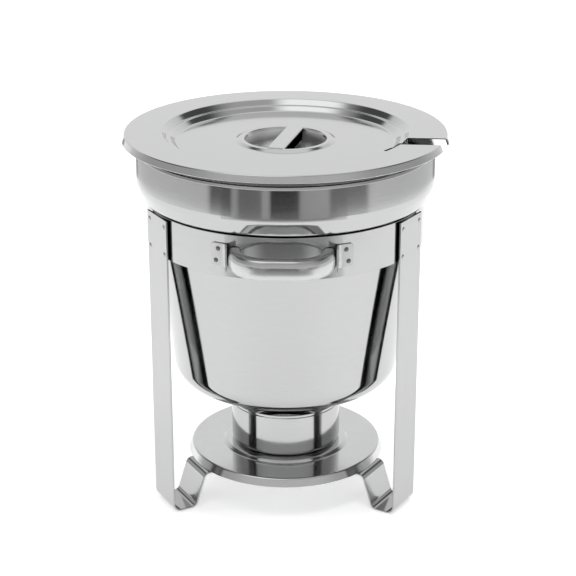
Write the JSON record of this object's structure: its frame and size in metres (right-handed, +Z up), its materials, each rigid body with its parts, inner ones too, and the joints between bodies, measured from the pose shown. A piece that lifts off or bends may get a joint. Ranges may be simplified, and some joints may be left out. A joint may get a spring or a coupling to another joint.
{
  "type": "soup kettle",
  "caption": "Round buffet soup kettle: water pan with lift-out inset and notched lid, in a strap-legged ring stand with loop handles and a fuel holder on a tray",
  "frame": {"origin": "on the floor, under the middle of the kettle", "axes": "+Z up; one handle faces -Y and the other +Y; the two front legs are towards -Y, the third is at +Y"},
  "size_m": [0.315, 0.338, 0.37],
  "materials": {
    "lid_steel": "mirror-polished stainless steel, faint radial haze from stamping",
    "inset_steel": "bright stainless steel, softer polish inside",
    "pan_steel": "mirror-polished stainless steel",
    "stand_steel": "polished stainless strip, fine lengthwise grain",
    "grip_steel": "polished stainless sheet",
    "rivet_steel": "bright rivet heads",
    "burner_steel": "polished stainless steel, slight heat haze"
  },
  "bodies": {
    "stand": {"stand_band": "stand_steel", "burner_tray": "burner_steel", "left_leg": "stand_steel", "right_leg": "stand_steel", "rear_leg": "stand_steel", "left_leg_rivets": "rivet_steel", "right_leg_rivets": "rivet_steel", "rear_leg_rivets": "rivet_steel", "front_grip": "grip_steel", "front_left_lug": "grip_steel", "front_right_lug": "grip_steel", "front_handle_rivets": "rivet_steel", "rear_grip": "grip_steel", "rear_left_lug": "grip_steel", "rear_right_lug": "grip_steel", "rear_handle_rivets": "rivet_steel"},
    "water_pan_body": {"water_pan": "pan_steel"},
    "inset_body": {"inset_pan": "inset_steel"},
    "lid_body": {"lid_shell": "lid_steel", "lid_strap_handle": "lid_steel"},
    "fuel_body": {"fuel_holder": "burner_steel"}
  },
  "joints": [
    {"name": "water_pan_lift", "type": "slide", "parent": "stand", "child": "water_pan_body", "axis": [0, 0, 1], "range_m": [0, 0.25]},
    {"name": "inset_lift", "type": "slide", "parent": "water_pan_body", "child": "inset_body", "axis": [0, 0, 1], "range_m": [0, 0.22]},
    {"name": "lid_lift", "type": "slide", "parent": "inset_body", "child": "lid_body", "axis": [0, 0, 1], "range_m": [0, 0.1]},
    {"name": "fuel_holder_slide", "type": "slide", "parent": "stand", "child": "fuel_body", "axis": [0, -1, 0], "range_m": [0, 0.24]}
  ]
}
